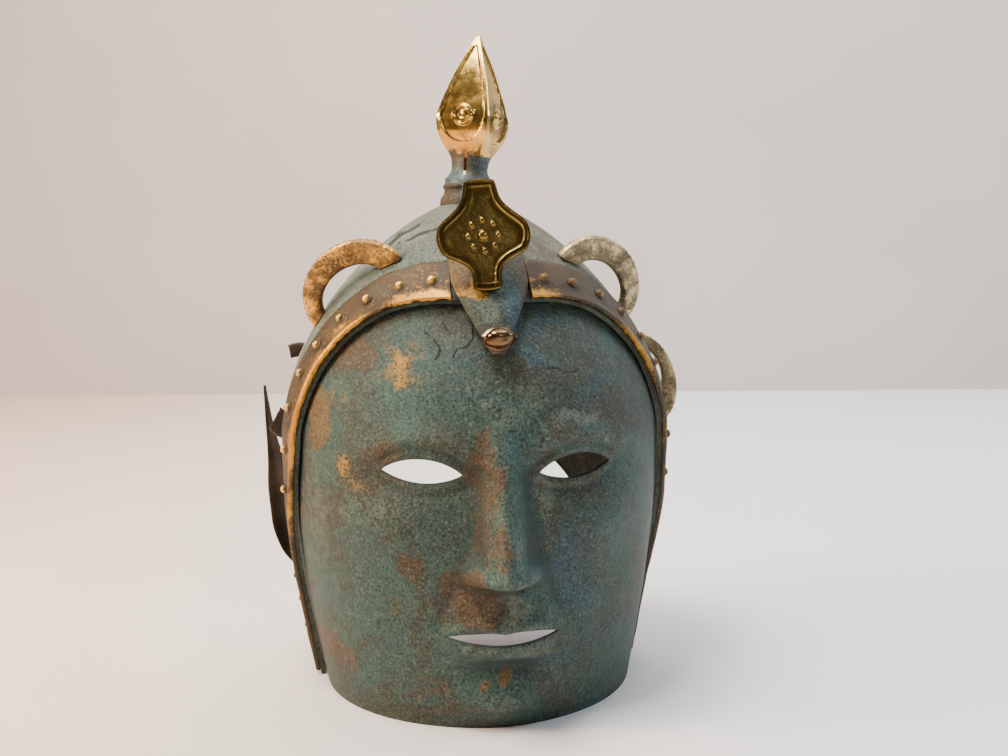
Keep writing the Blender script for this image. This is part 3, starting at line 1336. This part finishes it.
def build_stage():
    for name, material, corners in (
        ("floor", floor_material(), [(-4, -2, 0), (4, -2, 0), (4, 2.4, 0), (-4, 2.4, 0)]),
        ("wall", wall_material(), [(-4, 2.20, -0.5), (4, 0.30, -0.5), (4, 0.30, 3), (-4, 2.20, 3)]),
    ):
        obj = new_object(name, mesh_of(name, corners, [(0, 1, 2, 3)], shift=False))
        obj.data.materials.append(material)


def add_light(name, place, target, size, power, colour):
    lamp = bpy.data.lights.new(name, "AREA")
    lamp.shape = "RECTANGLE"
    lamp.size, lamp.size_y = size
    lamp.energy = power
    lamp.color = colour
    obj = new_object(name, lamp)
    obj.location = place
    obj.rotation_euler = (Vector(target) - Vector(place)).to_track_quat("-Z", "Y").to_euler()


def build_lights():
    target = (0, 0, 0.16)
    add_light("top", (-0.35, -0.20, 1.25), target, (0.45, 0.4), 21, (1.0, 0.98, 0.94))
    add_light("warm_side", (-1.25, -0.10, 0.72), target, (0.45, 0.4), 33, (1.0, 0.78, 0.56))
    add_light("cool_side", (1.30, 0.25, 0.80), target, (0.5, 0.5), 10, (0.58, 0.80, 1.0))
    add_light("front", (0.75, -1.5, 0.95), target, (0.4, 0.5), 4, (1.0, 0.98, 0.95))
    add_light("backdrop", (0.2, 0.45, 1.9), (0.1, 1.6, 0.2), (1.8, 0.6), 42, (1.0, 0.96, 0.92))
    n = Nodes(bpy.data.worlds.new("room"), "Generated")
    split = n.new("SeparateXYZ", {"Vector": n.place})
    rising = n.ramp(split.outputs["Z"], -0.1, 0.9, 0.10, 0.42, "LINEAR")
    sideways = n.ramp(split.outputs["X"], -1.0, 1.0, 0.40, 1.15, "LINEAR")
    background = n.tree.nodes["Background"]
    n.put(n.math("MULTIPLY", rising, sideways), background.inputs["Strength"])
    n.put((0.95, 0.96, 1.0), background.inputs["Color"])
    bpy.context.scene.world = n.owner


# The camera was fitted to the photograph: angles in degrees, place in millimetres, lens in pixels
CAMERA_ANGLES = (-8.1, 6.0, -1.0)
CAMERA_PLACE = (-71.4, -550.3, 208.9)
PHOTO_WIDTH = 1008
FOCAL_PIXELS = 1092
CENTRE_SHIFT = 18
SENSOR = 36


def build_camera():
    yaw, pitch, roll = [math.radians(angle) for angle in CAMERA_ANGLES]
    forward = Vector((-math.sin(yaw) * math.cos(pitch), math.cos(yaw) * math.cos(pitch), -math.sin(pitch)))
    right = Vector((math.cos(yaw), math.sin(yaw), 0))
    up = right.cross(forward)
    right, up = right * math.cos(roll) + up * math.sin(roll), up * math.cos(roll) - right * math.sin(roll)
    lens = bpy.data.cameras.new("photo")
    lens.sensor_width = SENSOR
    lens.sensor_fit = "HORIZONTAL"
    lens.lens = SENSOR * FOCAL_PIXELS / PHOTO_WIDTH
    lens.shift_x = CENTRE_SHIFT / PHOTO_WIDTH
    camera = new_object("photo", lens)
    x, y, z = [value * MM for value in CAMERA_PLACE]
    camera.matrix_world = Matrix(
        (
            (right.x, up.x, -forward.x, x),
            (right.y, up.y, -forward.y, y + SHIFT_Y),
            (right.z, up.z, -forward.z, z),
            (0, 0, 0, 1),
        )
    )
    bpy.context.scene.camera = camera


build_camera()
build_lights()
build_stage()

patina = patina_material("patina_green")
patina_light = patina_material("patina_pale", light=0.45)
band_bronze = worn_material(
    "band_bronze", (0.036, 0.024, 0.012), (0.074, 0.044, 0.018), (0.47, 0.235, 0.040), 0.60, 1.15, 0.33, 2.0,
    spots=(0.050, 0.052, 0.034), glitter=0.9,
)
dark_bronze = worn_material(
    "ear_bronze", (0.038, 0.024, 0.015), (0.085, 0.052, 0.030), (0.32, 0.19, 0.08), 0.70, 1.05, 0.38, 6.0
)
stud_gold = worn_material(
    "stud_gold", (0.080, 0.045, 0.018), (0.17, 0.098, 0.034), (0.75, 0.42, 0.085), 0.40, 0.95, 0.24, 11.0
)
loop_gold = worn_material(
    "loop_gold", (0.085, 0.048, 0.017), (0.26, 0.135, 0.032), (0.80, 0.43, 0.080), 0.42, 0.98, 0.24, 15.0,
    glitter=0.7,
)
loop_olive = worn_material(
    "loop_olive", (0.085, 0.062, 0.032), (0.20, 0.150, 0.078), (0.60, 0.46, 0.24), 0.42, 0.98, 0.28, 21.0,
    glitter=0.6,
)
knob_bronze = polished_material(
    "knob_bronze", (0.170, 0.100, 0.048), (0.080, 0.052, 0.028), 0.17, 9.0, relief=0.35
)
finial_gold = polished_material(
    "finial_gold", (0.70, 0.43, 0.11), (0.46, 0.25, 0.055), 0.14, 4.0, relief=0.16
)
plaque_gold = polished_material(
    "plaque_gold", (0.250, 0.165, 0.045), (0.120, 0.078, 0.020), 0.19, 8.0, relief=0.45
)

build_bowl(patina_light)
build_mask(patina)
for side, sign in (("left", 1), ("right", -1)):
    build_band(side, sign, band_bronze)
    build_studs(side, sign, stud_gold)
    build_ear(side, sign, dark_bronze)
build_peak(patina)
build_knob(knob_bronze)
build_plaque(plaque_gold)
build_collar(patina)
build_finial(finial_gold)
build_loops(loop_gold, loop_olive, dark_bronze)
